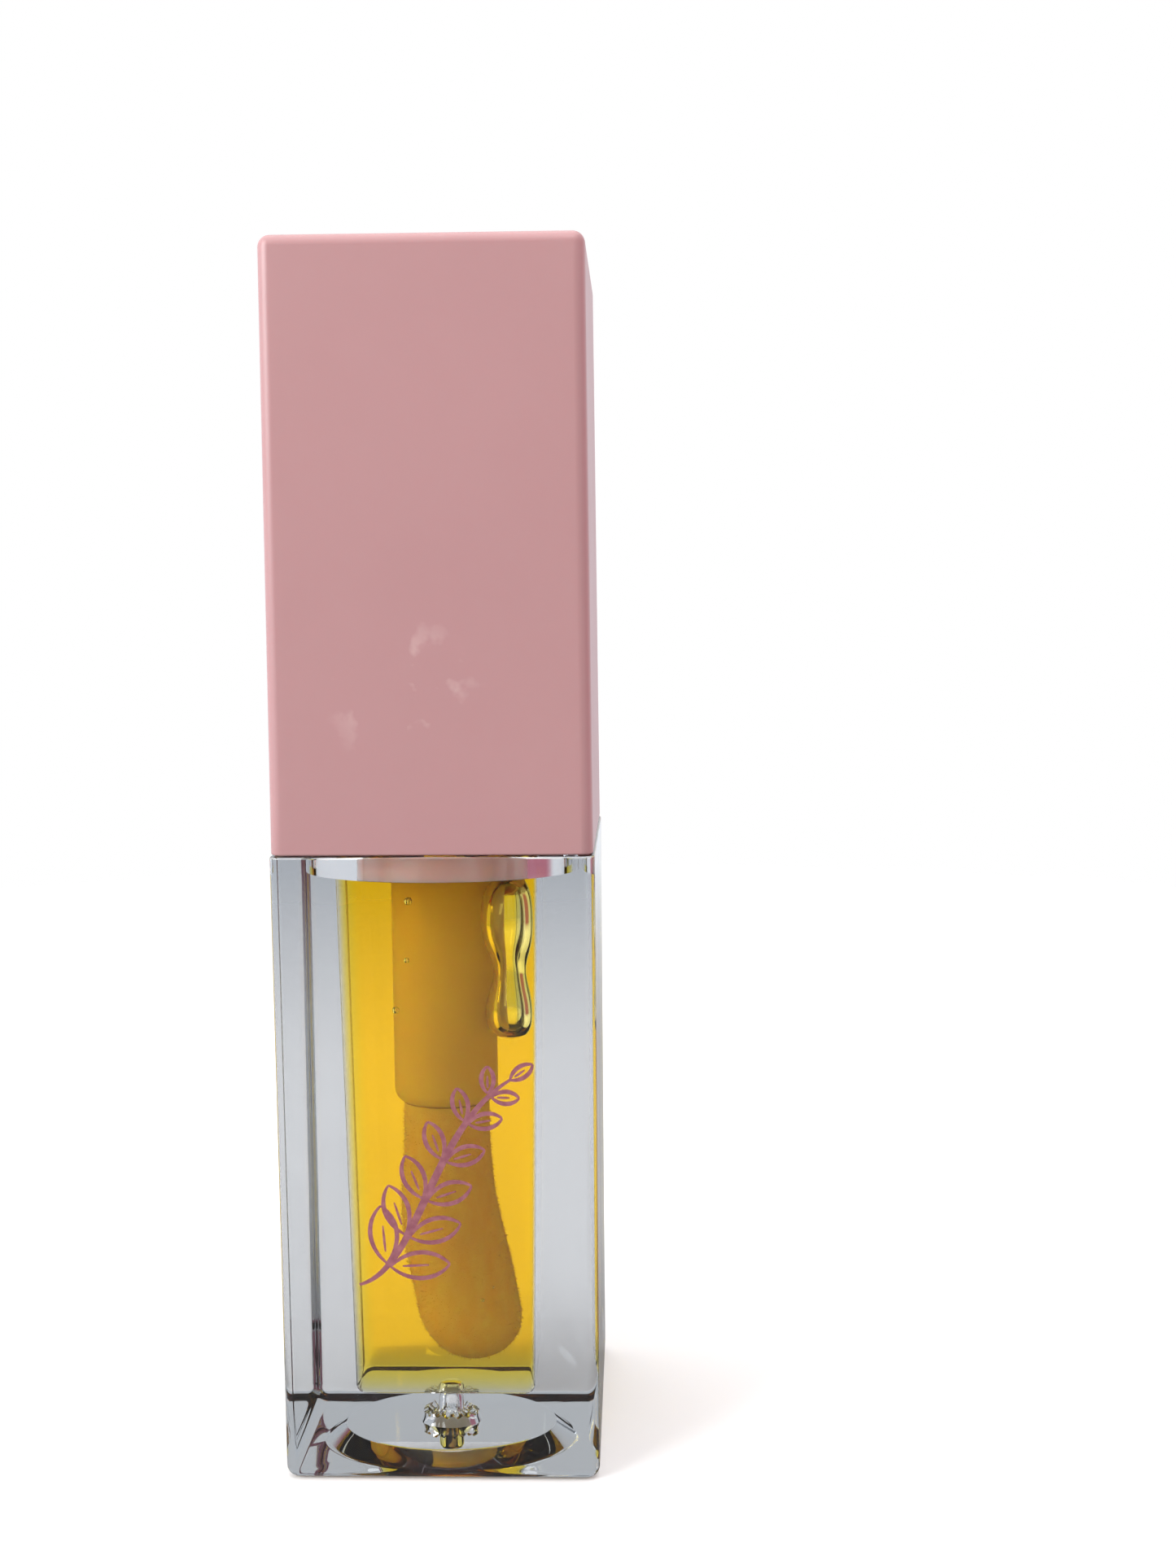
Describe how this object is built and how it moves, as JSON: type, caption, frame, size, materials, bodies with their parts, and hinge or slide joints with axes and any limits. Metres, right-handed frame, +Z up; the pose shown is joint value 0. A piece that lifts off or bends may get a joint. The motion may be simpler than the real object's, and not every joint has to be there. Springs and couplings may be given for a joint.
{
  "type": "lip gloss tube",
  "caption": "Square thick-walled clear tube of golden lip oil, with a tall square screw cap that carries a stem and a slanted flocked applicator.",
  "frame": {"origin": "middle of the base, on the surface the tube stands on", "axes": "+Z up the tube towards the cap, -Y towards the front, +X to the right seen from the front"},
  "size_m": [0.021, 0.021, 0.081],
  "materials": {
    "clear_plastic": "clear polished moulded plastic",
    "neck_plastic": "milky pink moulded plastic",
    "wiper_plastic": "soft natural plastic",
    "lip_oil": "golden cosmetic oil",
    "washer_foam": "fine closed-cell foam",
    "inner_cap_plastic": "satin moulded plastic",
    "pink_plastic": "polished dusty pink plastic",
    "stem_plastic": "frosted translucent plastic",
    "tip_core": "flexible moulded core",
    "flock": "short nylon flock soaked in oil"
  },
  "bodies": {
    "tube_body": {"bottle": "clear_plastic", "neck_insert": "neck_plastic", "wiper": "wiper_plastic", "lip_oil": "lip_oil"},
    "washer": {"seal_washer": "washer_foam"},
    "cap_and_wand": {"inner_cap": "inner_cap_plastic", "outer_cap": "pink_plastic", "wand_stem": "stem_plastic", "applicator_core": "tip_core", "flock_coat": "flock"}
  },
  "joints": [
    {"name": "cap_lift", "type": "slide", "parent": "tube_body", "child": "washer", "axis": [0, 0, 1], "range_m": [0, 0.054], "deforming": ["applicator_core", "flock_coat"]},
    {"name": "cap_twist", "type": "hinge", "parent": "washer", "child": "cap_and_wand", "pos_m": [0, 0, 0.0542], "axis": [0, 0, 1], "range_deg": [0, 6480]}
  ],
  "couplings": [
    {"joint": "cap_lift", "follows": "cap_twist", "m_per_rad": 0.00047746}
  ]
}
